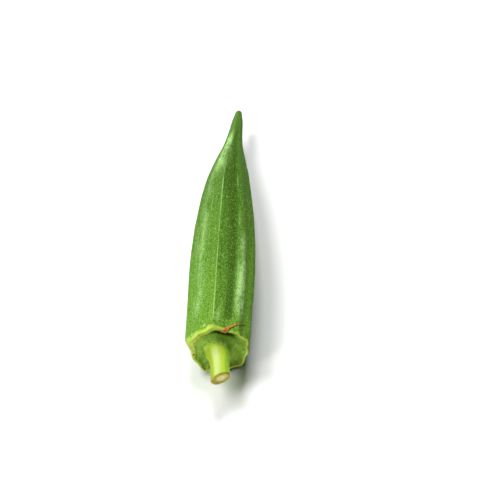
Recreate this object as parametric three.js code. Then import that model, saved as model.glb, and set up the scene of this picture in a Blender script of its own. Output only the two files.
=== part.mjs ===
// Okra pod lying on its side, as picked. Millimetres, +Z up, tip towards +Y.
// The pod, its rim and its stalk grew as one piece, so they are one closed solid: five-cornered
// rings, threaded on a centre line that runs from the cut end of the stalk to the tip.
import * as THREE from 'three';

// Driving dimensions
const POD_LENGTH = 112;
const RIDGE_RADIUS = 10.72;
const STALK_LENGTH = 11.7;
const STALK_RADIUS = 2.84;

// Section: five ridges with a softly bulged, lightly fluted face between each two. The ridges are
// given by their turn from the top in degrees, with a slow twist from the rim to the tip. Each face
// has its bulge at a share of the way to the next ridge, and at a share of the ridge radius. A flute
// runs along each flank between ridge and bulge, a little nearer the bulge.
const RIDGE_TURNS = [-9.5, 64, 133.5, 206.5, 280];
const RIDGE_TWIST = 2.5;
const RIDGE_SOFTNESS = 3;
const FACE_BULGES = [[0.65, 0.95], [0.48, 0.905], [0.42, 0.925], [0.47, 0.905], [0.5, 0.905]];
const BULGE_SOFTNESS = 7;
const FLUTE_DEPTH = 0.02;
const FLUTE_SKEW = 1.5;
const FACE_STEPS = [0, 0.035, 0.085, 0.16, 0.26, 0.38, 0.5, 0.62, 0.74, 0.84, 0.915, 0.965];

// Stalk: its cut slants so that the -X side and the top are the longer ones, and has a slightly
// rounded edge. Side rings are shares of the way from the flare to the cut, face rings shares of
// the radius.
const CUT_SLOPE = 0.49;
const CUT_TILT = -0.22;
const CUT_EDGE = 0.25;
const CUT_FACE_RINGS = [0.5, 0.93];
const STALK_RINGS = [1, 0.85, 0.6, 0.3];
const STALK_CORNERS = 0.15;

// Base, from the stalk's flare to the pod's shoulder: ridge radius, distance from the rim plane
// towards the tip, how strongly five-cornered, and share of the rim's unevenness. The rim is a low
// lip round a shallow recess, and is uneven: its corners stand out by these distances.
const BASE_OUTLINE = [
  [3, -5.6, 0.15, 0], [3.2, -4.2, 0.15, 0], [3.58, -2.9, 0.16, 0], [3.92, -1.9, 0.18, 0],
  [4.15, -0.9, 0.22, 0], [4.36, -0.1, 0.28, 0], [4.8, 0.5, 0.36, 0.1], [5.6, 0.86, 0.45, 0.25],
  [6.6, 1.02, 0.56, 0.45], [7.5, 0.98, 0.66, 0.7], [8.2, 0.74, 0.76, 0.9], [8.65, 0.36, 0.83, 1],
  [9.05, 0.03, 0.88, 1], [9.47, -0.05, 0.92, 1], [9.82, 0.22, 0.95, 1], [10.04, 0.8, 0.98, 0.9],
  [10.16, 1.7, 1, 0.6],
];
const RIM_CORNERS = [0, 0.3, -0.2, 0.8, -0.5];

// Body: distance from the rim as a share of the pod's length, and the ridge radius there as a
// share of the greatest one
const BODY_OUTLINE = [
  [0, 0.937], [0.03, 0.953], [0.12, 0.963], [0.28, 1], [0.42, 0.95], [0.56, 0.828],
  [0.67, 0.679], [0.76, 0.485], [0.84, 0.303], [0.91, 0.214], [0.97, 0.151], [1, 0.07],
];
const BODY_RINGS = [
  0.03, 0.06, 0.11, 0.17, 0.23, 0.29, 0.35, 0.41, 0.47, 0.52, 0.57, 0.62, 0.665, 0.705, 0.745,
  0.78, 0.815, 0.845, 0.875, 0.905, 0.935, 0.96,
];
const BODY_CORNERS = [[0, 1], [0.72, 1], [0.84, 0.8], [0.91, 0.45], [1, 0.2]];
const CAP_START = 0.985;
const CAP_ANGLES = [0, 30, 55, 75];

// The centre line drifts to +X and rises towards the tip, and the stalk leans to +X out of line
const SIDE_DRIFT = [
  [0, -0.12], [0.12, 0.05], [0.28, 0.24], [0.45, 0.28], [0.6, 0.31], [0.7, 0.59], [0.78, 1.06],
  [0.86, 1.79], [0.93, 2.41], [1, 2.9],
];
const TIP_LIFT = 0.9;
const STALK_LEAN = 4.8;

// How the pod lies: the underside of its belly is level, with a small flat where it is pressed
const REST_PITCH = 1.4;
const REST_FLAT_DEPTH = 0.34;

const radians = THREE.MathUtils.degToRad;

// A smooth curve through [x, value] pairs that never overshoots them.
function smoothCurve(points) {
  const last = points.length - 1;
  const slopes = [];
  for (let i = 0; i < last; i += 1) {
    slopes.push((points[i + 1][1] - points[i][1]) / (points[i + 1][0] - points[i][0]));
  }
  const tangents = points.map((_, i) => {
    const before = slopes[Math.max(i - 1, 0)];
    const after = slopes[Math.min(i, last - 1)];
    return before * after > 0 ? (2 * before * after) / (before + after) : 0;
  });
  return (x) => {
    let i = 0;
    while (i < last - 1 && x > points[i + 1][0]) i += 1;
    const width = points[i + 1][0] - points[i][0];
    const s = (x - points[i][0]) / width;
    const between = points[i][1] * (1 + 2 * s) * (1 - s) ** 2 + points[i + 1][1] * (3 - 2 * s) * s * s;
    return between + width * (tangents[i] * s * (1 - s) ** 2 - tangents[i + 1] * (1 - s) * s * s);
  };
}

const bodyShare = smoothCurve(BODY_OUTLINE);
const bodyCorners = smoothCurve(BODY_CORNERS);
const sideDrift = smoothCurve(SIDE_DRIFT);

// An angle from a corner, rounded off near that corner and unchanged at the far end of its span.
function softened(angle, softness, span) {
  const scale = span / (Math.hypot(span, softness) - softness);
  return (Math.hypot(angle, softness) - softness) * scale;
}

// Section radius as a share of the ridge radius, at an angle in degrees from a ridge, on the flat
// flank that spans from that ridge to a face's bulge.
function sectionShape(angle, span, bulge) {
  const across = bulge * Math.sin(radians(span));
  const flank = Math.atan2(1 - bulge * Math.cos(radians(span)), across);
  const softRidge = softened(angle, RIDGE_SOFTNESS, span);
  const fromRidge = span - softened(span - softRidge, BULGE_SOFTNESS, span);
  const flute = FLUTE_DEPTH * Math.sin(Math.PI * (angle / span) ** FLUTE_SKEW) ** 2;
  return Math.cos(flank) / Math.cos(flank - radians(fromRidge)) - flute;
}

// Slight unevenness of growth, as a factor on the radius.
function unevenness(turn, along) {
  return 1 + 0.006 * Math.sin(turn + 0.7) + 0.005 * Math.sin(2 * turn - 1.1 + 2.4 * along);
}

// Where the centre line is, at a distance from the rim plane towards the tip.
function centreLine(y) {
  const along = Math.max(y, 0) / POD_LENGTH;
  const out = Math.max(-y, 0);
  const x = sideDrift(along) + Math.tan(radians(STALK_LEAN)) * out;
  return new THREE.Vector3(x, y, TIP_LIFT * along ** 2);
}

// One ring of points round the centre line. A slant of 1 leans it as the stalk's cut does, and
// uneven is its share of the rim's unevenness.
function ringPoints({ radius, y, corners, slant = 0, uneven = 0 }) {
  const along = Math.max(y, 0) / POD_LENGTH;
  const points = [];
  FACE_BULGES.forEach(([place, bulge], face) => {
    const next = (face + 1) % FACE_BULGES.length;
    const start = RIDGE_TURNS[face];
    const width = next > 0 ? RIDGE_TURNS[next] - start : RIDGE_TURNS[0] + 360 - start;
    for (const step of FACE_STEPS) {
      const rising = step <= 0.5;
      const span = width * (rising ? place : 1 - place);
      const angle = span * 2 * Math.min(step, 1 - step);
      const turn = radians((rising ? start + angle : start + width - angle) + RIDGE_TWIST * along);
      const shape = 1 - corners * (1 - sectionShape(angle, span, bulge));
      const reach = radius * shape * unevenness(turn, along);
      const [side, up] = [reach * Math.sin(turn), reach * Math.cos(turn)];
      const between = THREE.MathUtils.smoothstep(step, 0, 1);
      const out = uneven * THREE.MathUtils.lerp(RIM_CORNERS[face], RIM_CORNERS[next], between);
      const lengthways = slant * (CUT_SLOPE * side + CUT_TILT * up) - out;
      points.push(centreLine(y).add(new THREE.Vector3(side, lengthways, up)));
    }
  });
  return points;
}

// The stalk's rings, from the middle of its cut face to the start of its flare.
function stalkRings() {
  const flare = BASE_OUTLINE[0][1];
  const face = CUT_FACE_RINGS.map((share) => ({
    radius: STALK_RADIUS * share, y: -STALK_LENGTH, corners: STALK_CORNERS, slant: 1,
  }));
  const sides = STALK_RINGS.map((share) => ({
    radius: STALK_RADIUS,
    y: THREE.MathUtils.lerp(flare, CUT_EDGE - STALK_LENGTH, share),
    corners: STALK_CORNERS,
    slant: share,
  }));
  return [...face, ...sides];
}

function baseRings() {
  return BASE_OUTLINE.map(([radius, y, corners, uneven]) => ({ radius, y, corners, uneven }));
}

function bodyRings() {
  return BODY_RINGS.map((along) => ({
    radius: RIDGE_RADIUS * bodyShare(along), y: POD_LENGTH * along, corners: bodyCorners(along),
  }));
}

// The rounded end of the tip, as part of an ellipse.
function capRings() {
  const radius = RIDGE_RADIUS * bodyShare(CAP_START);
  return CAP_ANGLES.map((angle) => {
    const along = THREE.MathUtils.lerp(CAP_START, 1, Math.sin(radians(angle)));
    return { radius: radius * Math.cos(radians(angle)), y: POD_LENGTH * along, corners: bodyCorners(along) };
  });
}

// A closed skin over the rings, with a single point at the middle of the cut and at the tip.
function skin(rings) {
  const columns = FACE_BULGES.length * FACE_STEPS.length;
  const points = rings.flatMap(ringPoints);
  const cut = points.push(centreLine(-STALK_LENGTH)) - 1;
  const tip = points.push(centreLine(POD_LENGTH)) - 1;
  const top = (rings.length - 1) * columns;
  const triangles = [];
  for (let column = 0; column < columns; column += 1) {
    const next = (column + 1) % columns;
    triangles.push(cut, next, column, tip, top + column, top + next);
    for (let row = 0; row < top; row += columns) {
      triangles.push(row + column, row + next, row + columns + column);
      triangles.push(row + next, row + columns + next, row + columns + column);
    }
  }
  const geometry = new THREE.BufferGeometry().setFromPoints(points);
  geometry.setIndex(triangles);
  return geometry;
}

// Lays the pod on z = 0, pressed flat where it touches, with the middle of its box over the origin.
function layDown(geometry) {
  geometry.rotateX(radians(-REST_PITCH));
  geometry.computeBoundingBox();
  const { min, max } = geometry.boundingBox;
  geometry.translate(-(min.x + max.x) / 2, -(min.y + max.y) / 2, -min.z - REST_FLAT_DEPTH);
  const position = geometry.getAttribute('position');
  for (let i = 0; i < position.count; i += 1) {
    position.setZ(i, Math.max(position.getZ(i), 0));
  }
  geometry.computeVertexNormals();
  return geometry;
}

const podSkin = new THREE.MeshStandardMaterial({ color: 0x6f9e35, roughness: 0.5, metalness: 0 });
const pod = new THREE.Mesh(
  layDown(skin([...stalkRings(), ...baseRings(), ...bodyRings(), ...capRings()])),
  podSkin,
);
pod.name = 'okra_pod';

const group = new THREE.Group();
group.name = 'okra_pod_as_picked';
group.add(pod);

export default group;
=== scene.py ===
"""A fresh okra pod lying on a pale floor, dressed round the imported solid.

The pod grew as one piece: ribbed body, low rim round a shallow recess, and a stalk cut at a slant. Its
shape is worked out in millimetres in its own frame, with the rim in the plane y = 0 and the tip towards
+Y, and is then laid down in the part's frame, in metres.
"""
import logging
import math
from dataclasses import dataclass, field
from enum import Enum
from typing import Any, Callable, Sequence

import bpy
import numpy as np
from bpy.types import Material, Node, NodeSocket, NodeTree, Object
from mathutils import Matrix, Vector, noise


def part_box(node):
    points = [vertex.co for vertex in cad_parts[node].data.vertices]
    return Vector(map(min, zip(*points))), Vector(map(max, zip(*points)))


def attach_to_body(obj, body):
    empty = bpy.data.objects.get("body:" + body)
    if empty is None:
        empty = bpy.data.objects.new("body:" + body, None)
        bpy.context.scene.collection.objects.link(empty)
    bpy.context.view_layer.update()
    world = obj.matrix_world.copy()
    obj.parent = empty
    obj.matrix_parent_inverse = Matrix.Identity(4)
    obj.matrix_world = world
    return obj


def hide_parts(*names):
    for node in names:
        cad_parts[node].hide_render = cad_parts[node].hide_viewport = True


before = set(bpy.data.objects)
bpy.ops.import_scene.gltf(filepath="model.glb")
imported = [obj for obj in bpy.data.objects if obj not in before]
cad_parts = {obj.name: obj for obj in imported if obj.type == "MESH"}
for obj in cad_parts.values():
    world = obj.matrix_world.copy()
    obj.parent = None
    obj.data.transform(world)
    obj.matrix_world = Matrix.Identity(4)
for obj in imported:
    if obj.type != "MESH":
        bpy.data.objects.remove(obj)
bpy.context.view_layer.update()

NODE = "okra_pod"
BODY = "root"
MM = 0.001
LOG = logging.getLogger("okra_pod")

Array = np.ndarray
Curve = Callable[[Array], Array]
Knots = tuple[tuple[float, ...], ...]


def smooth_curve(points: Sequence[Sequence[float]]) -> Curve:
    """Makes a smooth curve that never overshoots its points.

    Args:
        points: Pairs of position and value, by rising position.

    Returns:
        A function from positions to values.
    """
    x, v = np.array(points, float).T
    slope = np.diff(v) / np.diff(x)
    before = np.concatenate([slope[:1], slope])
    after = np.concatenate([slope, slope[-1:]])
    product = before * after
    total = np.where(product > 0, before + after, 1.0)
    tangent = np.where(product > 0, 2 * product / total, 0.0)

    def at(position: Array) -> Array:
        """Gives the curve's value at each position.

        Args:
            position: Where to read the curve.

        Returns:
            The values there.
        """
        i = np.clip(np.searchsorted(x, position, side="left") - 1, 0, len(x) - 2)
        width = x[i + 1] - x[i]
        s = (position - x[i]) / width
        between = v[i] * (1 + 2 * s) * (1 - s) ** 2 + v[i + 1] * (3 - 2 * s) * s * s
        return between + width * (tangent[i] * s * (1 - s) ** 2 - tangent[i + 1] * (1 - s) * s * s)

    return at


def bell(distance: Array, width: float | Array) -> Array:
    """Gives a bell-shaped weight, 1 at no distance and fading over the width."""
    return np.exp(-((distance / width) ** 2))


def turned_from(turn: Array, degrees: float) -> Array:
    """Gives how far turns in radians are from one in degrees, in degrees from -180 to 180."""
    return np.mod(np.degrees(turn) - degrees + 180, 360) - 180


def ramp(value: Array, start: float | Array, end: float | Array) -> Array:
    """Gives a smooth rise from 0 at start to 1 at end, which may be the lower one."""
    s = np.clip((value - start) / (end - start), 0, 1)
    return s * s * (3 - 2 * s)


def growth_noise(points: Array, seed: float, octaves: int = 3) -> Array:
    """Gives smooth natural variation at many points.

    Args:
        points: Points in an array whose last axis has length 3, one unit apart for unlike values.
        seed: Offset that picks another pattern.
        octaves: How many finer layers are added up.

    Returns:
        Values from about -1 to 1, in the shape of the points without their last axis.
    """
    flat = points.reshape(-1, 3) + seed
    values = [noise.fractal(p, 0.8, 2.1, octaves) for p in flat.tolist()]
    return np.array(values).reshape(points.shape[:-1])


@dataclass(frozen=True)
class Sample:
    """Points on the plain skin, with where they are round it.

    The turn is in radians from the top. The distances from the nearest ridge and from the face's bulge
    are in millimetres round the skin.
    """

    points: Array
    turn: Array
    from_ridge: Array
    from_bulge: Array


@dataclass(frozen=True)
class PodForm:
    """The pod's shape, in millimetres and degrees, as the solid has it."""

    length: float = 112.0
    ridge_radius: float = 10.72
    stalk_length: float = 11.7
    stalk_radius: float = 2.84
    ridge_turns: tuple[float, ...] = (-9.5, 64.0, 133.5, 206.5, 280.0)
    ridge_twist: float = 2.5
    ridge_softness: float = 3.0
    face_bulges: Knots = ((0.65, 0.95), (0.48, 0.905), (0.42, 0.925), (0.47, 0.905), (0.5, 0.905))
    bulge_softness: float = 7.0
    flute_depth: float = 0.02
    flute_skew: float = 1.5
    cut_slope: float = 0.49
    cut_tilt: float = -0.22
    cut_edge: float = 0.25
    stalk_corners: float = 0.15
    stalk_shares: tuple[float, ...] = (1.0, 0.85, 0.6, 0.3)
    stalk_lean: float = 4.8
    tip_lift: float = 0.9
    cap_start: float = 0.985
    rest_pitch: float = 1.4
    rest_flat_depth: float = 0.34
    shoulder_rings: tuple[float, ...] = (0.03, 0.06)
    body_start: float = 0.11
    body_rings: int = 24
    base_outline: Knots = (
        (3, -5.6, 0.15, 0), (3.2, -4.2, 0.15, 0), (3.58, -2.9, 0.16, 0), (3.92, -1.9, 0.18, 0),
        (4.15, -0.9, 0.22, 0), (4.36, -0.1, 0.28, 0), (4.8, 0.5, 0.36, 0.1), (5.6, 0.86, 0.45, 0.25),
        (6.6, 1.02, 0.56, 0.45), (7.5, 0.98, 0.66, 0.7), (8.2, 0.74, 0.76, 0.9), (8.65, 0.36, 0.83, 1),
        (9.05, 0.03, 0.88, 1), (9.47, -0.05, 0.92, 1), (9.82, 0.22, 0.95, 1),
        (10.04, 0.8, 0.98, 0.9), (10.16, 1.7, 1, 0.6),
    )
    lip_knot: int = 13
    rim_corners: tuple[float, ...] = (0.0, 0.3, -0.2, 0.8, -0.5)
    body_outline: Knots = (
        (0, 0.937), (0.03, 0.953), (0.12, 0.963), (0.28, 1), (0.42, 0.95), (0.56, 0.828),
        (0.67, 0.679), (0.76, 0.485), (0.84, 0.303), (0.91, 0.214), (0.97, 0.151), (1, 0.07),
    )
    body_corners: Knots = ((0.0, 1.0), (0.72, 1.0), (0.84, 0.8), (0.91, 0.45), (1.0, 0.2))
    side_drift: Knots = (
        (0, -0.12), (0.12, 0.05), (0.28, 0.24), (0.45, 0.28), (0.6, 0.31), (0.7, 0.59),
        (0.78, 1.06), (0.86, 1.79), (0.93, 2.41), (1, 2.9),
    )

    @staticmethod
    def softened(angle: Array, softness: float, span: Array) -> Array:
        """Rounds an angle off near its corner and leaves it unchanged at the far end of its span."""
        scale = span / (np.hypot(span, softness) - softness)
        return (np.hypot(angle, softness) - softness) * scale

    def section(self, angle: Array, span: Array, bulge: Array) -> Array:
        """Gives the section's radius on a flank between a ridge and a face's bulge.

        Args:
            angle: Angles from the ridge.
            span: Angle from the ridge to the bulge.
            bulge: The bulge's radius as a share of the ridge radius.

        Returns:
            Radii as shares of the ridge radius.
        """
        wide = np.radians(span)
        flank = np.arctan2(1 - bulge * np.cos(wide), bulge * np.sin(wide))
        soft_ridge = self.softened(angle, self.ridge_softness, span)
        rounded = span - self.softened(span - soft_ridge, self.bulge_softness, span)
        flute = self.flute_depth * np.sin(np.pi * (angle / span) ** self.flute_skew) ** 2
        return np.cos(flank) / np.cos(flank - np.radians(rounded)) - flute

    def centre(self, y: Array) -> Array:
        """Gives the centre line's points.

        Args:
            y: Distances from the rim plane.

        Returns:
            A point for each distance.
        """
        along = np.maximum(y, 0) / self.length
        out = np.maximum(-y, 0)
        x = smooth_curve(self.side_drift)(along) + math.tan(math.radians(self.stalk_lean)) * out
        return np.stack([x, y, self.tip_lift * along**2], axis=-1)

    def surface(
        self, radius: Array, y: Array, corners: Array, slant: Array,
        uneven: Array, step: Array,
    ) -> Sample:
        """Works out points on rings round the centre line.

        Args:
            radius: Ridge radius of each ring.
            y: Distance of each ring from the rim plane.
            corners: How strongly five-cornered each ring is.
            slant: How far each ring leans, where 1 is the stalk's cut.
            uneven: Each ring's share of the rim's unevenness.
            step: Place round the ring, in faces, from the first ridge.

        Returns:
            The points and where they are round the skin.
        """
        along = np.maximum(y, 0) / self.length
        faces = len(self.ridge_turns)
        face = np.floor(step).astype(int) % faces
        part = np.mod(step, 1.0)
        rising = part <= 0.5
        turns = np.array([*self.ridge_turns, self.ridge_turns[0] + 360])
        place, bulge = np.array(self.face_bulges).T
        span = np.diff(turns)[face] * np.where(rising, place[face], 1 - place[face])
        angle = span * 2 * np.minimum(part, 1 - part)
        turn = np.where(rising, turns[face] + angle, turns[face + 1] - angle)
        turn = np.radians(turn + self.ridge_twist * along)
        growth = 1 + 0.006 * np.sin(turn + 0.7) + 0.005 * np.sin(2 * turn - 1.1 + 2.4 * along)
        reach = radius * (1 - corners * (1 - self.section(angle, span, bulge[face]))) * growth
        side, up = reach * np.sin(turn), reach * np.cos(turn)
        corner = np.array(self.rim_corners)
        between = ramp(part, 0, 1)
        out = uneven * (corner[face] * (1 - between) + corner[(face + 1) % faces] * between)
        lengthways = slant * (self.cut_slope * side + self.cut_tilt * up) - out
        points = self.centre(y) + np.stack([side, lengthways, up], axis=-1)
        size = np.maximum(reach, 1)
        return Sample(points, turn, np.radians(angle) * size, np.radians(span - angle) * size)

    def outline_knots(self) -> Array:
        """Lists the outline along the skin.

        Returns:
            Radius, y, corners, slant and unevenness, from the cut's edge to the start of the cap.
        """
        flare = self.base_outline[0][1]
        cut = self.cut_edge - self.stalk_length
        stalk = [
            (self.stalk_radius, flare + (cut - flare) * s, self.stalk_corners, s, 0.0)
            for s in self.stalk_shares
        ]
        base = [(radius, y, corners, 0.0, uneven) for radius, y, corners, uneven in self.base_outline]
        even = np.linspace(self.body_start, self.cap_start, self.body_rings)
        along = np.concatenate([self.shoulder_rings, even])
        radius = self.ridge_radius * smooth_curve(self.body_outline)(along)
        corners = smooth_curve(self.body_corners)(along)
        zero = np.zeros_like(along)
        body = list(zip(radius, self.length * along, corners, zero, zero))
        return np.array(stalk + base + body, float)


class Zone(Enum):
    """Stretches of the skin, with the spacing of their rings in millimetres."""

    STALK = 0.33
    BASE = 0.14
    BODY = 0.62
    TIP = 0.4


@dataclass(frozen=True)
class Sector:
    """A soft-edged stretch round the pod: the turn of its middle and its width, in degrees."""

    middle: float
    width: float

    def weigh(self, turn: Array) -> Array:
        """Gives a weight of 1 in its middle that fades to 0 away from it."""
        return bell(turned_from(turn, self.middle), self.width)


@dataclass(frozen=True)
class Relief:
    """Heights of the skin's fine relief, in millimetres."""

    thread: float = 0.13
    vein: float = 0.05
    fibres: float = 0.03
    lumps: float = 0.07
    rim: float = 0.09
    recess: float = 0.06
    stalk: float = 0.012
    seams: float = 0.06
    cut_grain: float = 0.05
    cut_edge: float = 0.12
    dry: float = 0.06
    spots: float = 0.05
    inner_roll: float = 0.32
    worn_lip: float = 0.3


@dataclass
class SkinGrid:
    """The fine skin as a grid of rings and columns, with its masks."""

    form: PodForm
    columns_per_face: int = 50
    ridge_crowding: float = 0.62
    cut_rings: int = 14
    cap_rings: int = 9
    pith_shift: float = 0.2
    pith_away_from: float = 235.0
    flare_knots: int = 3
    shoulder_knots: int = 16
    thread_width: float = 0.17
    vein_width: float = 0.16
    vein_places: tuple[float, ...] = (0.35, 1.55)
    heights: Relief = Relief()
    stalk_far_side: Sector = Sector(80.0, 50.0)
    # Stretches that place painted highlight, shade, shadow and light on the stalk, the recess and the rim
    stalk_highlight: Sector = Sector(-17.0, 30.0)
    stalk_left: Sector = Sector(-64.0, 32.0)
    stalk_right: Sector = Sector(62.0, 40.0)
    recess_shade: Sector = Sector(14.0, 36.0)
    under_top_rim: Sector = Sector(14.0, 40.0)
    rim_in_light: Sector = Sector(-92.0, 34.0)
    top_ridge: Sector = Sector(-9.0, 20.0)
    # Stretches of painted highlight and painted light on the body; on the right face the highlight is also
    # pale bloom
    right_bloom_and_highlight: Sector = Sector(39.0, 9.0)
    left_painted_highlight: Sector = Sector(-50.0, 17.0)
    ridge_painted_light: Sector = Sector(4.0, 6.0)
    neck_painted_light: Sector = Sector(-26.0, 28.0)
    # Small marks: turn in degrees, distance from the lip, width and length in millimetres, and strength
    dark_spots: Knots = (
        (251, -0.7, 0.3, 0.45, 1), (269, -2.6, 0.16, 0.2, 0.8),
        (246, -5, 0.16, 0.18, 0.8), (216, -0.5, 0.25, 0.2, 0.8),
        (209, -0.6, 0.35, 0.22, 0.9), (232, -1.6, 0.14, 0.14, 0.7),
        (258, -4.1, 0.12, 0.12, 0.6), (278, -3.6, 0.12, 0.14, 0.6),
        (18, 9, 0.12, 0.2, 0.5), (-38, 41, 0.14, 0.2, 0.5),
        (-26, 63, 0.12, 0.18, 0.4), (42, 27, 0.12, 0.2, 0.4),
    )
    tan_patches: Knots = (
        (150, -0.6, 0.7, 0.25, 0.7), (139, -0.7, 0.7, 0.28, 0.8),
        (127, -0.8, 0.8, 0.3, 0.8), (252, -0.5, 0.8, 0.9, 0.3),
        (212, -0.4, 1, 0.4, 0.45), (5, 2.2, 0.8, 0.7, 0.28),
        (-16, 78.5, 0.8, 3.2, 0.25),
    )
    pale_patches: Knots = (
        (-2, 5, 0.75, 3.4, 0.45), (-30, 2.6, 1.2, 0.7, 0.5),
        (-62, 2.2, 0.8, 0.6, 0.5), (-74, 1.6, 0.8, 0.6, 0.45),
    )
    points: Array = field(init=False)
    normals: Array = field(init=False)
    masks: dict[str, Array] = field(init=False, default_factory=dict)

    def __post_init__(self) -> None:
        """Works out the rings, the plain surface, its relief and its masks."""
        radius, y, corners, slant, uneven, cut_share, from_lip = self.rings()
        faces = len(self.form.ridge_turns)
        share = np.arange(faces * self.columns_per_face) / self.columns_per_face
        crowd = self.ridge_crowding / (2 * math.pi)
        step = (share - crowd * np.sin(2 * math.pi * share))[None, :] + np.zeros((len(y), 1))
        self.y, self.radius, self.cut_share, self.from_lip = (
            values[:, None] + 0 * step for values in (y, radius, cut_share, from_lip)
        )
        self.plain = self.form.surface(
            self.radius, self.y, corners[:, None], slant[:, None], uneven[:, None], step
        )
        self.turn = self.plain.turn
        self.normals = self.grid_normals(self.plain.points)
        self.make_masks()
        self.points = self.plain.points + self.normals * self.relief()[..., None]

    def rings(self) -> tuple[Array, ...]:
        """Spaces the rings along the skin.

        Returns:
            Radius, y, corners, slant, unevenness, share of the cut face's radius, and distance along the
            skin from the lip, each from the middle of the cut to the tip.
        """
        form = self.form
        knots = form.outline_knots()
        length = np.concatenate([[0], np.cumsum(np.hypot(*np.diff(knots[:, :2], axis=0).T))])
        n_stalk, n_base = len(form.stalk_shares), len(form.base_outline)
        flare, shoulder = n_stalk + self.flare_knots, n_stalk + n_base
        ends = [0, flare, shoulder, shoulder + self.shoulder_knots, len(knots) - 1]
        spaced = [np.arange(length[a], length[b], zone.value) for a, b, zone in zip(ends, ends[1:], Zone)]
        at = np.concatenate([*spaced, length[-1:]])
        side = [smooth_curve(np.stack([length, column], axis=1))(at) for column in knots.T]
        share = np.linspace(0, 1, self.cut_rings + 1)[1:-1]
        full = np.ones_like(share)
        edge = 1 - form.cut_edge / form.stalk_radius * 0.3
        face = np.stack([
            form.stalk_radius * edge * share, -form.stalk_length * full, form.stalk_corners * full,
            full, 0 * full,
        ])
        angle = np.linspace(0, math.pi / 2, self.cap_rings + 1)[1:-1]
        along = form.cap_start + (1 - form.cap_start) * np.sin(angle)
        cap = np.stack([
            side[0][-1] * np.cos(angle), form.length * along, smooth_curve(form.body_corners)(along),
            0 * along, 0 * along,
        ])
        outline = np.concatenate([face, np.stack(side), cap], axis=1)
        cut = np.concatenate([share, np.ones(len(at) + len(angle))])
        lip = length[n_stalk + form.lip_knot]
        inwards = (share - 1) * form.stalk_radius - lip
        beyond = length[-1] - lip + form.length * (along - form.cap_start)
        return *outline, cut, np.concatenate([inwards, at - lip, beyond])

    @staticmethod
    def grid_normals(points: Array) -> Array:
        """Gives the outward normals of a grid that closes round its columns.

        Args:
            points: The grid, by ring and column.

        Returns:
            A unit vector for each point.
        """
        across = np.roll(points, -1, axis=1) - np.roll(points, 1, axis=1)
        normal = np.cross(across, np.gradient(points, axis=0))
        return normal / np.maximum(np.linalg.norm(normal, axis=-1, keepdims=True), 1e-12)

    def marks(self, spots: Knots) -> Array:
        """Adds up the weights of small marks, with uneven edges.

        Args:
            spots: The marks, as listed in the fields of this class.

        Returns:
            Weights from 0 to 1 over the grid.
        """
        total = np.zeros_like(self.y)
        ragged = 1 + 0.45 * growth_noise(self.plain.points / 0.7, 61.0, 3)
        for turn, from_lip, wide, long, strength in spots:
            across = np.radians(turned_from(self.turn, turn)) * self.radius / (wide * ragged)
            lengthways = (self.from_lip - from_lip) / (long * ragged)
            total += strength * np.exp(-(across**2 + lengthways**2) ** 2)
        return np.clip(total, 0, 1)

    def left_of_top(self) -> Array:
        """Weighs the side of the rim that is broad and rounded, from 0 to 1."""
        return np.exp(-((turned_from(self.turn, -52) / 60) ** 4))

    def make_masks(self) -> None:
        """Works out where each kind of surface is, from 0 to 1."""
        blotches = growth_noise(self.grain_points(2.4, 9.0), 71.0, 3)
        self.masks["along"] = np.clip(self.y / self.form.length, 0, 1)
        self.mask_base(blotches)
        self.mask_body(blotches)
        off_middle = self.pith_shift * np.cos(self.turn - math.radians(self.pith_away_from))
        self.masks["cut"] = self.cut_share * (1 + off_middle)

    def mask_base(self, blotches: Array) -> None:
        """Masks the stalk, the recess, the rim and the marks near them, with the painted shade, shadow,
        light and highlight there.

        Args:
            blotches: Noise that breaks the masks up.
        """
        masks, y, turn, out = self.masks, self.y, self.turn, self.from_lip
        ragged = growth_noise(self.plain.points / 1.3, 51.0, 3)
        breaks = growth_noise(self.plain.points / 0.55, 57.0, 2)
        broad = self.left_of_top()
        inner_edge = 0.55 + 1.75 * broad
        outer_edge = 0.35 + 0.85 * broad + 0.45 * ragged
        soft = 0.35 + 0.75 * broad
        blend = 0.2 + 0.4 * broad
        inner = out + inner_edge + (0.12 + 0.5 * broad) * ragged
        stalk = ramp(y + 0.3 * ragged + 1.5 * self.stalk_far_side.weigh(turn), -0.6, -2.2)
        recess = ramp(inner, blend, -blend) * (1 - stalk) * (self.cut_share == 1)
        masks["stalk"], masks["recess"] = stalk, recess
        masks["rim"] = ramp(inner, -blend, blend) * ramp(out, outer_edge + soft, outer_edge - soft)
        # Painted shade on the top of the recess, under the rim
        masks["shade"] = recess * self.recess_shade.weigh(turn) * ramp(out, -7.5, -4.5)
        # Painted shadow that the top of the rim casts into the recess
        masks["painted_rim_shadow"] = recess * self.under_top_rim.weigh(turn) * bell(out + 2.9, 1.1)
        # Painted light: the rim made paler on its left, where the light falls
        masks["rim_painted_light"] = self.rim_in_light.weigh(turn) * bell(out + 1.1, 1.0)
        # Painted highlight down the stalk's left middle, broken up by blotches
        highlight = stalk * self.stalk_highlight.weigh(turn) * ramp(y, -0.9, -3.4)
        masks["stalk_painted_highlight"] = highlight * (0.8 - 0.4 * blotches)
        # Painted shade on the stalk's lamp-lit left, which tones its light down
        masks["stalk_left_painted_shade"] = stalk * self.stalk_left.weigh(turn)
        # Painted light on the stalk's shaded right
        masks["stalk_right_painted_light"] = stalk * self.stalk_right.weigh(turn)
        worn = bell(out + inner_edge + 0.1 * ragged, 0.14) * ramp(breaks, -0.15, 0.35)
        masks["dry"] = np.clip((0.75 - 0.4 * broad) * worn + self.marks(self.tan_patches), 0, 1)
        masks["spots"] = self.marks(self.dark_spots)

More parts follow.
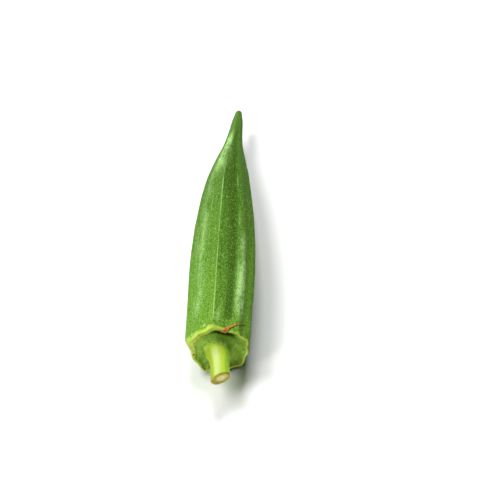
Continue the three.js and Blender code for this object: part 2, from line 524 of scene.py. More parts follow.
    def mask_body(self, blotches: Array) -> None:
        """Masks the body's ridge threads, painted shade in its hollows, pale bloom with painted highlights,
        and fine veins.

        Args:
            blotches: Noise that breaks the masks up.
        """
        masks, y, turn, along = self.masks, self.y, self.turn, self.masks["along"]
        from_ridge, from_bulge = self.plain.from_ridge, self.plain.from_bulge
        masks["thread"] = (
            bell(from_ridge, self.thread_width) * ramp(y, 1.2, 4.5) * ramp(along, 0.86, 0.55)
            * np.clip(0.75 + 0.6 * blotches, 0, 1) * (0.3 + 0.7 * self.top_ridge.weigh(turn))
        )
        upper = ramp(along, 0.42, 0.62)
        hollow = (
            bell(turned_from(turn, 20) + 8 * upper, 20 + 12 * upper)
            * ramp(turned_from(turn, 40), 2.0, -4.0) * ramp(turned_from(turn, -9), 0.0, 3.0)
        )
        flank = from_ridge / (from_ridge + from_bulge + 1e-6)
        # Painted shade in the hollow of each flank, darkest right of the top ridge
        masks["hollow_painted_shade"] = (
            bell(flank - 0.55 + 0.1 * upper, 0.21 + 0.29 * upper) * (0.08 + 0.92 * hollow)
            * ramp(y, 1.0, 7.0) * ramp(along, 0.96, 0.84) * np.clip(0.95 + 0.35 * blotches, 0, 1)
        )
        freckled = growth_noise(self.plain.points / np.array([0.8, 1.3, 0.8]), 77.0, 3)
        right_face = self.right_bloom_and_highlight.weigh(turn) * ramp(turned_from(turn, 39), 11.5, 4.5)
        # Pale bloom down the middle of the faces, with painted highlights on the left and right faces and
        # painted light beside the top ridge and on the neck
        bloom_and_highlight = (
            0.04 * bell(from_bulge, 1.5)
            + right_face * (1.1 * ramp(along, 0.46, 0.1) + 0.08 * ramp(along, 0.6, 0.4))
            + 0.42 * self.left_painted_highlight.weigh(turn) * ramp(along, 0.85, 0.5)
            + 0.2 * self.ridge_painted_light.weigh(turn) * ramp(along, 0.3, 0.12)
            + 0.62 * self.neck_painted_light.weigh(turn) * ramp(along, 0.62, 0.74) * ramp(along, 0.92, 0.84)
        )
        patchy = ramp(y, 2.0, 12.0) * np.clip(0.8 + 0.6 * blotches + 0.5 * freckled, 0, 1.4)
        masks["bloom_and_highlight"] = patchy * bloom_and_highlight + self.marks(self.pale_patches)
        fine_lines = sum(bell(from_bulge - at, self.vein_width) for at in self.vein_places)
        broken = ramp(growth_noise(self.grain_points(3.0, 16.0), 81.0, 2), -0.15, 0.35)
        masks["vein"] = fine_lines * ramp(y, 4, 20) * ramp(along, 0.85, 0.6) * broken

    def grain_points(self, across: float, lengthways: float) -> Array:
        """Gives points for noise that runs along the pod.

        Args:
            across: Width of one streak round the pod, in millimetres.
            lengthways: Length of one streak, in millimetres.

        Returns:
            Points, one unit apart for unlike values.
        """
        near_base = ramp(self.from_lip, 3.0, 0.0)
        size = (self.form.ridge_radius * (1 - near_base) + self.radius * near_base) / across
        return np.stack([np.sin(self.turn) * size, np.cos(self.turn) * size, self.y / lengthways], axis=-1)

    def relief(self) -> Array:
        """Works out the fine relief of the skin.

        Returns:
            Heights over the grid, in millimetres along its normals.
        """
        masks, mm, out = self.masks, self.heights, self.from_lip
        on_cut = self.cut_share < 1
        body = ramp(self.y, 0.8, 4.0) * np.clip(self.radius / self.form.ridge_radius, 0.2, 1)
        beads = 0.78 + 0.22 * growth_noise(self.grain_points(40, 2.2), 3.0, 2)
        fibres = growth_noise(self.grain_points(1.15, 26), 11.0, 2)
        lumps = growth_noise(self.grain_points(7.5, 9.0), 23.0, 2)
        ragged = growth_noise(self.plain.points / 1.1, 37.0, 3)
        seams = growth_noise(self.grain_points(2.6, 30), 41.0, 2)
        height = mm.thread * masks["thread"] * beads + mm.vein * masks["vein"]
        height += body * (mm.fibres * fibres + mm.lumps * lumps)
        height += ragged * (mm.rim * masks["rim"] + mm.recess * masks["recess"] + mm.stalk * masks["stalk"])
        height += mm.seams * seams * masks["stalk"] * ~on_cut
        height += on_cut * (mm.cut_grain * ragged + mm.cut_edge * ramp(self.cut_share, 0.62, 0.85))
        height += mm.dry * masks["dry"] - mm.spots * masks["spots"]
        rolled = mm.inner_roll * bell(out + 1.9, 0.8) - mm.worn_lip * bell(out - 0.3, 0.9)
        height += self.left_of_top() * rolled
        return height

    def sample(self, row: Array, column: Array) -> tuple[Array, Array]:
        """Gives points and normals of the skin between its grid points.

        Args:
            row: Places along the skin, in rings.
            column: Places round the skin, in columns.

        Returns:
            The points in millimetres and the normals.
        """
        rows, columns = self.y.shape
        low = np.clip(np.floor(row).astype(int), 0, rows - 2)
        left = np.floor(column).astype(int)
        up, right = (row - low)[:, None], (column - left)[:, None]
        here, there = left % columns, (left + 1) % columns
        results = []
        for grid in (self.points, self.normals):
            near = grid[low, here] * (1 - right) + grid[low, there] * right
            far = grid[low + 1, here] * (1 - right) + grid[low + 1, there] * right
            results.append(near * (1 - up) + far * up)
        points, normals = results
        return points, normals / np.linalg.norm(normals, axis=-1, keepdims=True)

    def find(self, turn: Array, from_lip: Array) -> tuple[Array, Array]:
        """Finds rows and columns.

        Args:
            turn: Turns from the top, in degrees.
            from_lip: Distances along the skin from the lip, in millimetres.

        Returns:
            Rows and columns, between grid points where need be.
        """
        rows, columns = self.y.shape
        row = np.interp(from_lip, self.from_lip[:, 0], np.arange(rows))
        start = math.degrees(self.turn[0, 0])
        round_once = np.append(np.degrees(self.turn[0]), start + 360)
        column = np.interp(np.mod(turn - start, 360) + start, round_once, np.arange(columns + 1))
        return row, column


@dataclass(frozen=True)
class Placement:
    """Takes points from the pod's own frame to the part's frame, in metres."""

    pitch: float
    shift: tuple[float, float, float]

    @classmethod
    def from_grid(cls, grid: SkinGrid) -> "Placement":
        """Lays the plain skin where the solid lies.

        Args:
            grid: The skin.

        Returns:
            The placement that does so.
        """
        form = grid.form
        turned = cls.pitched(grid.plain.points.reshape(-1, 3), form.rest_pitch)
        low, high = (np.array(corner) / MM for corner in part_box(NODE))
        middle = (low + high) / 2 - (turned.min(0) + turned.max(0)) / 2
        drop = low[2] - turned[:, 2].min() - form.rest_flat_depth
        return cls(form.rest_pitch, (float(middle[0]), float(middle[1]), float(drop)))

    @staticmethod
    def pitched(points: Array, pitch: float) -> Array:
        """Turns points so that the tip goes down by the pitch.

        Args:
            points: Points in the pod's frame.
            pitch: The pitch, in degrees.

        Returns:
            The turned points.
        """
        c, s = math.cos(math.radians(pitch)), math.sin(math.radians(pitch))
        x, y, z = np.moveaxis(points, -1, 0)
        return np.stack([x, c * y + s * z, c * z - s * y], axis=-1)

    def place(self, points: Array, pressed: bool = True) -> Array:
        """Places points.

        Args:
            points: Points in the pod's frame, in millimetres.
            pressed: Whether points that would be under the surface lie on it instead.

        Returns:
            Points in the part's frame, in metres.
        """
        placed = self.pitched(points, self.pitch) + np.array(self.shift)
        if pressed:
            placed[..., 2] = np.maximum(placed[..., 2], 0)
        return placed * MM


def linear(hex_colour: str) -> tuple[float, float, float, float]:
    """Turns an sRGB hex colour into a linear one for a shader.

    Args:
        hex_colour: The colour, such as #6F9E35.

    Returns:
        Its red, green, blue and opacity.
    """
    parts = [int(hex_colour[i:i + 2], 16) / 255 for i in (1, 3, 5)]
    red, green, blue = (p / 12.92 if p <= 0.04045 else ((p + 0.055) / 1.055) ** 2.4 for p in parts)
    return red, green, blue, 1.0


def add_node(
    tree: NodeTree, kind: str, settings: dict[str, Any] | None = None,
    values: dict[Any, Any] | None = None, links: dict[Any, NodeSocket] | None = None,
) -> Node:
    """Adds one node to a tree.

    Args:
        tree: The tree it goes into.
        kind: Blender's name for the node's type.
        settings: The node's own properties.
        values: Values of its input sockets, by name or number.
        links: Output sockets joined to its input sockets, by name or number.

    Returns:
        The node.
    """
    node = tree.nodes.new(kind)
    for name, value in (settings or {}).items():
        setattr(node, name, value)
    for name, value in (values or {}).items():
        node.inputs[name].default_value = value
    for name, socket in (links or {}).items():
        tree.links.new(socket, node.inputs[name])
    return node


@dataclass(frozen=True)
class Grain:
    """A noise pattern, by its real size across and along the pod in millimetres."""

    name: str
    across: float
    along: float
    detail: float = 3.0
    roughness: float = 0.55


@dataclass(frozen=True)
class Layer:
    """A colour laid over those before it, from nothing at start to its most at end of a mask or grain.

    A second mask, if there is one, holds it within a zone.
    """

    colour: str
    by: str
    start: float = 0.0
    end: float = 1.0
    most: float = 1.0
    within: str = ""


def lay_colours(
    tree: NodeTree, base: str, layers: Sequence[Layer], sources: dict[str, NodeSocket],
) -> NodeSocket:
    """Lays colours over each other.

    Args:
        tree: The tree that the nodes go into.
        base: The lowest colour.
        layers: The colours over it, from the lowest to the highest.
        sources: The masks and grains that the layers name.

    Returns:
        The resulting colour.
    """
    colour = None
    for layer in layers:
        rising = layer.start < layer.end
        values = {
            "From Min": min(layer.start, layer.end), "From Max": max(layer.start, layer.end),
            "To Min": 0.0 if rising else layer.most, "To Max": layer.most if rising else 0.0,
        }
        settings = {"interpolation_type": "SMOOTHSTEP"}
        links = {"Value": sources[layer.by]}
        amount = add_node(tree, "ShaderNodeMapRange", settings, values, links).outputs[0]
        if layer.within:
            links = {0: amount, 1: sources[layer.within]}
            amount = add_node(tree, "ShaderNodeMath", {"operation": "MULTIPLY"}, links=links).outputs[0]
        values = {7: linear(layer.colour)}
        links = {0: amount}
        if colour is None:
            values[6] = linear(base)
        else:
            links[6] = colour
        colour = add_node(tree, "ShaderNodeMix", {"data_type": "RGBA"}, values, links).outputs[2]
    return colour


@dataclass(frozen=True)
class Finish:
    """A finish's name, colour and gloss."""

    name: str
    base: str
    roughness: float
    specular_level: float
    ior: float = 1.5

    def inputs(self, tree: NodeTree) -> dict[str, NodeSocket]:
        """Adds what varies over the surface: nothing, on a plain finish."""
        return {}

    def build(self) -> Material:
        """Builds the material.

        Returns:
            The material, with its nodes.
        """
        material = bpy.data.materials.new(self.name)
        material.use_nodes = True
        tree = material.node_tree
        tree.nodes.clear()
        values = {
            "Base Color": linear(self.base), "Roughness": self.roughness, "IOR": self.ior,
            "Specular IOR Level": self.specular_level,
        }
        shader = add_node(tree, "ShaderNodeBsdfPrincipled", values=values, links=self.inputs(tree))
        add_node(tree, "ShaderNodeOutputMaterial", links={"Surface": shader.outputs["BSDF"]})
        return material


@dataclass(frozen=True)
class GrownFinish(Finish):
    """A finish whose colours follow masks, and grains of a real size."""

    grains: tuple[Grain, ...] = ()
    layers: tuple[Layer, ...] = ()
    masks: tuple[str, ...] = ()
    relief_mm: float = 0.0

    def sources(self, tree: NodeTree, place: NodeSocket, unit: float) -> dict[str, NodeSocket]:
        """Adds the masks and grains.

        Args:
            tree: The tree that the nodes go into.
            place: Coordinates over the surface.
            unit: What a millimetre measures in those coordinates.

        Returns:
            Their sockets, by name.
        """
        sources = {
            name: add_node(tree, "ShaderNodeAttribute", {"attribute_name": name}).outputs["Fac"]
            for name in self.masks
        }
        for grain in self.grains:
            scale = [1 / (size * unit) for size in (grain.across, grain.across, grain.along)]
            at = add_node(tree, "ShaderNodeMapping", values={"Scale": scale}, links={"Vector": place})
            values = {"Scale": 1.0, "Detail": grain.detail, "Roughness": grain.roughness}
            links = {"Vector": at.outputs[0]}
            pattern = add_node(tree, "ShaderNodeTexNoise", values=values, links=links)
            sources[grain.name] = pattern.outputs["Fac"]
        return sources

    def inputs(self, tree: NodeTree) -> dict[str, NodeSocket]:
        """Adds colours from grains without a direction, and relief from the first grain.

        Args:
            tree: The tree that the nodes go into.

        Returns:
            The sockets for the shader, by the names of its inputs.
        """
        sources = self.sources(tree, add_node(tree, "ShaderNodeTexCoord").outputs["Object"], MM)
        inputs = {"Base Color": lay_colours(tree, self.base, self.layers, sources)}
        if self.relief_mm > 0:
            values = {"Strength": 0.6, "Distance": self.relief_mm * MM}
            links = {"Height": sources[self.grains[0].name]}
            inputs["Normal"] = add_node(tree, "ShaderNodeBump", values=values, links=links).outputs["Normal"]
        return inputs


@dataclass(frozen=True)
class PodSkin(GrownFinish):
    """Waxy epidermis of a fresh pod, grown with fine down.

    It gives the eye a satin green that breaks into long streaks and fine flecks, with pale ridge
    threads, a yellow-green rim and stalk, and pale bloom along the middle of each face with painted
    highlights on its left and right faces. Painted shade darkens the flanks' hollows, the recess under
    the rim and the stalk's left; painted light brightens the rim's left and the stalk's right, and a
    painted highlight runs down the stalk.
    """

    name: str = "okra_epidermis_waxy"
    masks: tuple[str, ...] = (
        "along", "stalk", "stalk_painted_highlight", "stalk_left_painted_shade", "stalk_right_painted_light", "recess", "shade", "painted_rim_shadow", "rim",
        "rim_painted_light", "thread", "hollow_painted_shade", "bloom_and_highlight", "vein", "dry", "spots",
    )
    # The real flecks are the feet of hairs, under 0.1 mm across: they are drawn coarser, so that they show
    grains: tuple[Grain, ...] = (
        Grain("streaks", 0.8, 22), Grain("mottle", 3.2, 5, 5, 0.6),
        Grain("flecks", 0.35, 0.5, 2, 0.7), Grain("specks", 0.9, 1.1, 1, 0.5),
        Grain("seams", 0.6, 40, 2),
    )
    base: str = "#67942B"
    layers: tuple[Layer, ...] = (
        Layer("#5F8D2A", "along", 0, 0.12),
        Layer("#517B24", "along", 0.12, 0.4),
        Layer("#487022", "along", 0.4, 0.64),
        Layer("#4D7429", "along", 0.7, 0.9),
        Layer("#3E6A1C", "streaks", 0.52, 0.3, 0.35),
        Layer("#7DAA42", "streaks", 0.52, 0.76, 0.25),
        Layer("#72A138", "mottle", 0.5, 0.8, 0.3),
        # Painted shade in the flanks' hollows
        Layer("#355710", "hollow_painted_shade", 0.05, 0.9, 0.9),
        # Pale bloom with painted highlights
        Layer("#AEDA86", "bloom_and_highlight", 0, 1, 0.95),
        Layer("#98C26A", "vein", 0.2, 1, 0.5),
        Layer("#27490A", "flecks", 0.5, 0.33, 0.8),
        Layer("#A9D070", "flecks", 0.55, 0.71, 0.6),
        Layer("#A98A4E", "specks", 0.7, 0.78, 0.4),
        Layer("#A3CB74", "thread", 0.1, 1, 0.7),
        Layer("#9CC24C", "recess"),
        Layer("#66902A", "mottle", 0.56, 0.4, 0.65, "recess"),
        Layer("#AACC66", "flecks", 0.52, 0.7, 0.6, "recess"),
        Layer("#3F661A", "flecks", 0.5, 0.34, 0.65, "recess"),
        # Painted shade on the recess under the top of the rim
        Layer("#4C7716", "shade", 0.1, 0.9, 0.7),
        # Painted shadow under the top of the rim
        Layer("#152B05", "painted_rim_shadow", 0.1, 0.85, 0.95),
        Layer("#B9D44E", "rim", 0, 1, 0.95),
        Layer("#D2E07C", "mottle", 0.48, 0.7, 0.6, "rim"),
        # Painted light on the left of the rim
        Layer("#EEF484", "rim_painted_light", 0.1, 0.8, 0.85, "rim"),
        Layer("#8FB53C", "flecks", 0.5, 0.34, 0.45, "rim"),
        Layer("#B0CA3A", "stalk"),
        # Painted shade on the stalk's left
        Layer("#889E28", "stalk_left_painted_shade", 0.1, 0.9, 0.85),
        # Painted light on the stalk's shaded right
        Layer("#A0D440", "stalk_right_painted_light", 0.1, 0.9, 0.75),
        Layer("#7CA226", "seams", 0.55, 0.35, 0.25, "stalk"),
        # Painted highlight on the stalk
        Layer("#B8CA7A", "stalk_painted_highlight", 0.1, 1, 0.92),
        Layer("#B5933C", "dry", 0.15, 0.7, 0.8),
        Layer("#4F3A14", "spots", 0.1, 0.7, 0.9),
    )
    roughness: float = 0.46
    ior: float = 1.35
    specular_level: float = 0.03
    relief_mm: float = 0.05
    streak_relief_mm: float = 0.05

    def inputs(self, tree: NodeTree) -> dict[str, NodeSocket]:
        """Adds colours and gloss from grains that run along the pod, with relief of streaks and flecks.

        Args:
            tree: The tree that the nodes go into.

        Returns:
            The sockets for the shader, by the names of its inputs.
        """
        along_pod = add_node(tree, "ShaderNodeAttribute", {"attribute_name": "grain"}).outputs["Vector"]
        sources = self.sources(tree, along_pod, 1.0)
        values = {
            "From Min": 0.3, "From Max": 0.7,
            "To Min": self.roughness - 0.05, "To Max": self.roughness + 0.08,
        }
        rough = add_node(tree, "ShaderNodeMapRange", values=values, links={"Value": sources["mottle"]})
        values = {"Strength": 0.4, "Distance": self.streak_relief_mm * MM}
        fibre = add_node(tree, "ShaderNodeBump", values=values, links={"Height": sources["streaks"]})
        values = {"Strength": 0.6, "Distance": self.relief_mm * MM}
        links = {"Height": sources["flecks"], "Normal": fibre.outputs["Normal"]}
        bump = add_node(tree, "ShaderNodeBump", values=values, links=links)
        return {
            "Base Color": lay_colours(tree, self.base, self.layers, sources),
            "Roughness": rough.outputs[0], "Normal": bump.outputs["Normal"],
        }


@dataclass(frozen=True)
class CutStalk(GrownFinish):
    """Stalk flesh cut with a knife and dried a little at its edge.

    It gives the eye a pale, slightly wet pith in a ring of olive flesh, with a browned outer edge.
    """

    name: str = "okra_stalk_flesh_cut"
    base: str = "#F0F0A8"
    grains: tuple[Grain, ...] = (Grain("pores", 0.35, 0.35, 3.0, 0.65), Grain("stain", 1.6, 1.6, 3.0, 0.6))
    layers: tuple[Layer, ...] = (
        Layer("#DCDA7E", "cut", 0.25, 0.5),
        Layer("#BAB42E", "cut", 0.46, 0.66),
        Layer("#B6AE2C", "cut", 0.64, 0.84),
        Layer("#BCA234", "cut", 0.86, 1.05, 0.7),
        Layer("#86701C", "stain", 0.52, 0.36, 0.6, "cut"),
        Layer("#F8F6D2", "pores", 0.58, 0.75, 0.5),
        Layer("#9A8838", "pores", 0.42, 0.28, 0.4),
    )
    roughness: float = 0.48
    specular_level: float = 0.2
    masks: tuple[str, ...] = ("cut",)
    relief_mm: float = 0.06


@dataclass(frozen=True)
class DriedSkin(GrownFinish):
    """Torn plant skin, dried to a thin brown shred.

    It gives the eye a dull orange-brown with darker streaks along its length and paler worn edges.
    """

    name: str = "okra_skin_torn_dried"
    base: str = "#BC7C38"
    grains: tuple[Grain, ...] = (Grain("streaks", 0.3, 0.3, 3.0, 0.6), Grain("stain", 1.2, 1.2, 2.0, 0.5))
    layers: tuple[Layer, ...] = (
        Layer("#7E4A1C", "streaks", 0.52, 0.36, 0.75),
        Layer("#D8A868", "streaks", 0.56, 0.7, 0.6),
        Layer("#5E3F16", "stain", 0.5, 0.36, 0.55),
    )
    roughness: float = 0.75
    specular_level: float = 0.2


@dataclass(frozen=True)
class PlantDown(Finish):
    """Fine plant hairs, grown: pale and slightly glossy, so that they give the edges a soft glint."""

    name: str = "okra_down_grown"
    base: str = "#7CA648"
    roughness: float = 0.6
    specular_level: float = 0.15


@dataclass(frozen=True)
class MattBoard(Finish):
    """Painted board, matt white: it gives a plain ground with soft shadows and no reflections."""

    name: str = "board_painted_matt_white"
    base: str = "#F6F6F6"
    roughness: float = 0.85
    specular_level: float = 0.15


def ring_quads(rings: int, columns: int) -> Array:
    """Lists the four-sided faces between rings that close round their columns.

    Args:
        rings: How many rings there are.
        columns: How many points each ring has.

    Returns:
        Four point numbers for each face.
    """
    start = (np.arange(rings - 1) * columns)[:, None]
    here = start + np.arange(columns)
    after = start + (np.arange(columns) + 1) % columns
    return np.stack([here, after, after + columns, here + columns], axis=-1).reshape(-1, 4)


def make_piece(
    name: str, points: Array, faces: list[Sequence[int]], finishes: Sequence[Material]
) -> Object:
    """Makes a mesh object in the scene.

    Args:
        name: The piece's name.
        points: Its points in the part's frame, in metres.
        faces: Its faces, as numbers of points.
        finishes: Its materials.

    Returns:
        The object, which sits at the origin.
    """
    mesh = bpy.data.meshes.new(name)
    mesh.from_pydata(points.tolist(), [], faces)
    mesh.update()
    for finish in finishes:
        mesh.materials.append(finish)
    piece = bpy.data.objects.new(name, mesh)
    bpy.context.scene.collection.objects.link(piece)
    return piece


@dataclass
class PodPiece:
    """The whole pod: one fine skin with its masks, and the cut end of its stalk."""

    grid: SkinGrid
    placement: Placement
    name: str = "okra_pod_skin"

    def build(self, skin: Material, cut_flesh: Material) -> Object:
        """Builds the skin's mesh and dresses it.

        Args:
            skin: Finish of the pod and the side of its stalk.
            cut_flesh: Finish of the cut.

        Returns:
            The piece.
        """
        grid = self.grid
        rows, columns = grid.y.shape
        ends = grid.form.centre(np.array([-grid.form.stalk_length, grid.form.length]))
        placed = self.placement.place(np.concatenate([grid.points.reshape(-1, 3), ends]))
        cut, tip = rows * columns, rows * columns + 1
        quads = ring_quads(rows, columns)
        last = (rows - 1) * columns
        around = [(a, (a + 1) % columns) for a in range(columns)]
        cut_end = [(cut, b, a) for a, b in around]
        tip_end = [(tip, last + a, last + b) for a, b in around]
        faces = quads.tolist() + cut_end + tip_end
        piece = make_piece(self.name, placed, faces, (skin, cut_flesh))
        mesh = piece.data
        mesh.shade_smooth()
        on_cut = np.zeros(len(faces), int)
        on_cut[: (grid.cut_rings - 1) * columns] = 1
        on_cut[len(quads): len(quads) + columns] = 1
        mesh.polygons.foreach_set("material_index", on_cut)
        for name, values in grid.masks.items():
            attribute = mesh.attributes.new(name, "FLOAT", "POINT")
            tail = [0.0 if name == "cut" else values[0].mean(), values[-1].mean()]
            attribute.data.foreach_set("value", np.concatenate([values.ravel(), tail]).astype(np.float32))
        grain = np.concatenate([grid.grain_points(1, 1).reshape(-1, 3), ends])
        attribute = mesh.attributes.new("grain", "FLOAT_VECTOR", "POINT")
        attribute.data.foreach_set("vector", grain.astype(np.float32).ravel())
        return piece


@dataclass
class DrySliver:
    """A strip of torn, dried skin that lies across the rim, as a thin closed body.

    Its route is given by turn in degrees, distance from the lip, half width and lift, in millimetres.
    """

    grid: SkinGrid
    placement: Placement
    name: str = "okra_dry_sliver"
    route: Knots = (
        (5, -2.1, 0.15, 0.05), (7, -1.6, 0.5, 0.15), (11, -0.6, 0.66, 0.25), (15.5, 0.45, 0.6, 0.24),
        (20, 1.3, 0.36, 0.2), (26, 2.1, 0.3, 0.14), (32, 2.8, 0.2, 0.1), (42, 3.7, 0.11, 0.08),
        (53, 5.2, 0.04, 0.02),
    )
    steps: int = 72
    across: int = 8
    thickness: float = 0.16
    sunk: float = 0.08
    curl: float = 0.22
    tears: float = 16.0
    tear_depth: float = 0.55
    fold_size: float = 0.5
    fold_height: float = 0.05
    edge_thinning: float = 0.7

    def build(self, finish: Material) -> Object:
        """Builds the strip's mesh and dresses it.

        Args:
            finish: Its material.

        Returns:
            The piece.
        """
        turn, from_lip, half, lift = np.array(self.route).T
        knots = np.linspace(0, 1, len(turn))
        t = np.linspace(0, 1, self.steps)
        turn, from_lip, half, lift = (
            smooth_curve(np.stack([knots, values], axis=1))(t) for values in (turn, from_lip, half, lift)
        )
        middle, normal = self.grid.sample(*self.grid.find(turn, from_lip))
        ahead = np.gradient(middle, axis=0)
        side = np.cross(normal, ahead)
        side /= np.linalg.norm(side, axis=-1, keepdims=True)
        s = np.linspace(-1, 1, self.across)[None, :, None]
        tears = np.stack([t * self.tears, 0 * t, 0 * t], axis=-1)
        near, far = (1 + self.tear_depth * growth_noise(tears, seed, 3) for seed in (91.0, 97.0))
        ragged = np.where(s < 0, near[:, None, None], far[:, None, None])
        bent = middle[:, None, :] + side[:, None, :] * s * half[:, None, None] * ragged
        rise = lift[:, None, None] + self.curl * half[:, None, None] * s**2
        folds = self.fold_height * growth_noise(bent / self.fold_size, 93.0, 2)[..., None]
        thickness = self.thickness * (1 - self.edge_thinning * s**2)
        upper = bent + normal[:, None, :] * (rise + folds + thickness)
        lower = bent + normal[:, None, :] * np.minimum(rise + folds, -self.sunk + 0 * rise)
        loop = np.concatenate([upper, lower[:, ::-1]], axis=1)
        count = loop.shape[1]
        quads = ring_quads(self.steps, count)[:, [0, 3, 2, 1]]
        last = (self.steps - 1) * count
        ends = [tuple(range(count)), tuple(range(last + count - 1, last - 1, -1))]
        placed = self.placement.place(loop.reshape(-1, 3))
        piece = make_piece(self.name, placed, quads.tolist() + ends, (finish,))
        piece.data.shade_smooth()
        return piece


@dataclass
class Spikes:
    """Many small closed spikes that grow out of the skin, such as hairs or dry shreds.

    Their sizes are in millimetres.
    """

    grid: SkinGrid
    placement: Placement
    name: str
    count: int
    shortest: float
    longest: float
    width: float
    thickness: float
    towards_tip: float
    scatter: float
    seed: int
    sunk: float = 0.06
    clear_of_floor: float = 0.5

    def build(self, density: Array, finish: Material) -> Object:
        """Builds the spikes in one mesh and dresses them.

        Args:
            density: How thickly they grow at each grid point.
            finish: Their material.

        Returns:
            The piece.
        """
        grid = self.grid
        draw = np.random.default_rng(self.seed)
        across = np.linalg.norm(np.roll(grid.points, -1, axis=1) - grid.points, axis=-1)
        lengthways = np.linalg.norm(np.gradient(grid.points, axis=0), axis=-1)
        weight = (density * across * lengthways)[:-1].ravel()
        cell = draw.choice(len(weight), self.count, p=weight / weight.sum())
        row = cell // grid.y.shape[1] + draw.random(self.count)
        column = cell % grid.y.shape[1] + draw.random(self.count)
        root, normal = grid.sample(row, column)
        axis = normal + np.array([0, self.towards_tip, 0]) + self.scatter * draw.normal(size=root.shape)
        axis /= np.linalg.norm(axis, axis=-1, keepdims=True)
        length = draw.uniform(self.shortest, self.longest, self.count)[:, None]
        flat = np.cross(axis, normal + 0.3 * draw.normal(size=root.shape))
        flat /= np.linalg.norm(flat, axis=-1, keepdims=True)
        edge = np.cross(axis, flat) * self.thickness
        flat = flat * self.width * draw.uniform(0.7, 1.2, self.count)[:, None]
        foot = root - axis * self.sunk
        corners = np.stack(
            [foot + flat, foot - 0.5 * flat + edge, foot - 0.5 * flat - edge, root + axis * length], axis=1
        )
        placed = self.placement.place(corners, pressed=False)
        placed = placed[placed[..., 2].min(axis=1) > self.clear_of_floor * MM]
        first = (np.arange(len(placed)) * 4)[:, None]
        spike = np.array([(0, 2, 1), (0, 1, 3), (1, 2, 3), (2, 0, 3)])
        faces = (first[:, :, None] + spike[None]).reshape(-1, 3)
        return make_piece(self.name, placed.reshape(-1, 3), faces.tolist(), (finish,))


@dataclass(frozen=True)
class Softbox:
    """A soft studio light: its direction from the pod, distance, size in metres and power in watts."""

    name: str
    azimuth: float
    elevation: float
    distance: float
    width: float
    height: float
    power: float

    def build(self, aim: Vector) -> Object:
        """Hangs the light.

        Args:
            aim: The point that it faces.

        Returns:
            The light.
        """
        light = bpy.data.lights.new(self.name, "AREA")
        light.shape = "RECTANGLE"
        light.size, light.size_y = self.width, self.height
        light.energy = self.power
        obj = bpy.data.objects.new(self.name, light)
        obj.location = aim + self.distance * direction(self.azimuth, self.elevation)
        obj.rotation_euler = (aim - obj.location).to_track_quat("-Z", "Y").to_euler()
        bpy.context.scene.collection.objects.link(obj)
        return obj


def direction(azimuth: float, elevation: float) -> Vector:
    """Gives the direction towards something at an azimuth from -Y towards +X, and an elevation."""
    a, e = math.radians(azimuth), math.radians(elevation)
    return Vector((math.sin(a) * math.cos(e), -math.cos(a) * math.cos(e), math.sin(e)))


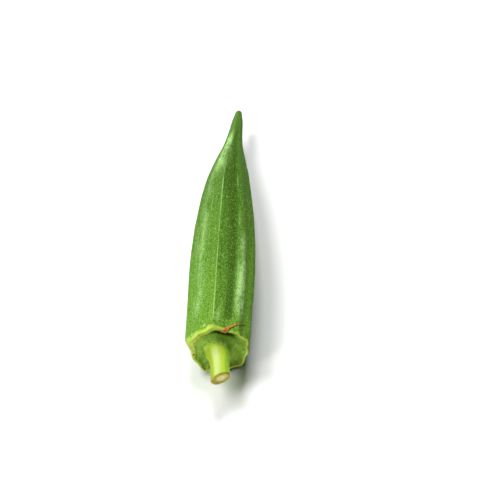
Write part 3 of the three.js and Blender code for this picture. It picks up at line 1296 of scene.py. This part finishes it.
@dataclass
class Studio:
    """Pale floor, soft light and the camera."""

    placement: Placement
    middle_y: float = 50.0
    camera_distance: float = 0.6
    camera_azimuth: float = 2.39
    camera_elevation: float = 43.88
    lens: float = 136.4
    sensor_width: float = 36.0
    clip_start: float = 0.01
    aim_side: float = 8.1
    aim_rise: float = -5.85
    floor_size: float = 4.0
    floor_gap: float = 0.02
    world_strength: float = 0.05
    softboxes: tuple[Softbox, ...] = (
        Softbox("left_low_softbox", -90, 20, 0.8, 0.4, 0.3, 0.5),
        Softbox("left_front_softbox", -45, 40, 0.9, 0.3, 0.3, 3.6),
        Softbox("top_left_softbox", -110, 60, 0.9, 0.35, 0.35, 5.0),
        Softbox("rear_top_softbox", 180, 60, 0.9, 0.35, 0.35, 5.7),
    )

    def middle(self) -> Vector:
        """Gives the middle of the pod, on its centre line."""
        return Vector(self.placement.place(np.array([0.0, self.middle_y, 0.0])))

    def build_floor(self, finish: Material) -> Object:
        """Lays the floor just under the pod.

        Args:
            finish: Its material.

        Returns:
            The floor.
        """
        half, z = self.floor_size / 2, -self.floor_gap * MM
        corners = np.array([(-half, -half, z), (half, -half, z), (half, half, z), (-half, half, z)])
        return make_piece("studio_floor", corners, [(0, 1, 2, 3)], (finish,))

    def build_light(self) -> None:
        """Sets the sky and hangs the softboxes."""
        world = bpy.data.worlds.new("studio_surround")
        world.use_nodes = True
        background = world.node_tree.nodes["Background"]
        background.inputs["Color"].default_value = linear("#FFFFFF")
        background.inputs["Strength"].default_value = self.world_strength
        scene = bpy.context.scene
        scene.world = world
        scene.view_settings.view_transform = "Standard"
        for softbox in self.softboxes:
            softbox.build(self.middle())
            LOG.info("light %s", softbox.name)

    def build_camera(self) -> Object:
        """Sets the camera at the photograph's angle.

        Returns:
            The camera.
        """
        data = bpy.data.cameras.new("camera")
        data.lens = self.lens
        data.sensor_width = self.sensor_width
        data.clip_start = self.clip_start
        camera = bpy.data.objects.new("camera", data)
        middle = self.middle()
        towards = direction(self.camera_azimuth, self.camera_elevation)
        camera.location = middle + self.camera_distance * towards
        aim = middle + Vector((self.aim_side, 0.0, self.aim_rise)) * MM
        camera.rotation_euler = (aim - camera.location).to_track_quat("-Z", "Y").to_euler()
        bpy.context.scene.collection.objects.link(camera)
        bpy.context.scene.camera = camera
        return camera


def attach(piece: Object) -> None:
    """Makes a piece ride with the pod and stand for its solid.

    Args:
        piece: The piece.
    """
    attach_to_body(piece, BODY)
    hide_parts(NODE)
    LOG.info("piece %s: %d faces", piece.name, len(piece.data.polygons))


def main() -> None:
    """Builds the pod and the studio."""
    logging.basicConfig(level=logging.INFO, format="%(name)s: %(message)s")
    grid = SkinGrid(PodForm())
    placement = Placement.from_grid(grid)
    studio = Studio(placement)
    studio.build_camera()
    studio.build_light()
    studio.build_floor(MattBoard().build())
    attach(PodPiece(grid, placement).build(PodSkin().build(), CutStalk().build()))
    dried = DriedSkin().build()
    attach(DrySliver(grid, placement).build(dried))
    body_start_y = 2
    hairy = (grid.y > body_start_y) * (0.4 + 0.6 * grid.masks["thread"] + 0.3 * grid.masks["bloom_and_highlight"])
    down = Spikes(
        grid, placement, "okra_down", count=9000, shortest=0.18, longest=0.42, width=0.022,
        thickness=0.018, towards_tip=0.9, scatter=0.35, seed=7,
    )
    attach(down.build(hairy, PlantDown().build()))
    inner_rim = bell(grid.from_lip + 0.8, 0.16)
    shreds = Spikes(
        grid, placement, "okra_rim_shreds", count=45, shortest=0.2, longest=0.5, width=0.12,
        thickness=0.04, towards_tip=-0.9, scatter=0.5, seed=11,
    )
    attach(shreds.build(inner_rim, dried))


if __name__ == "__main__":
    main()
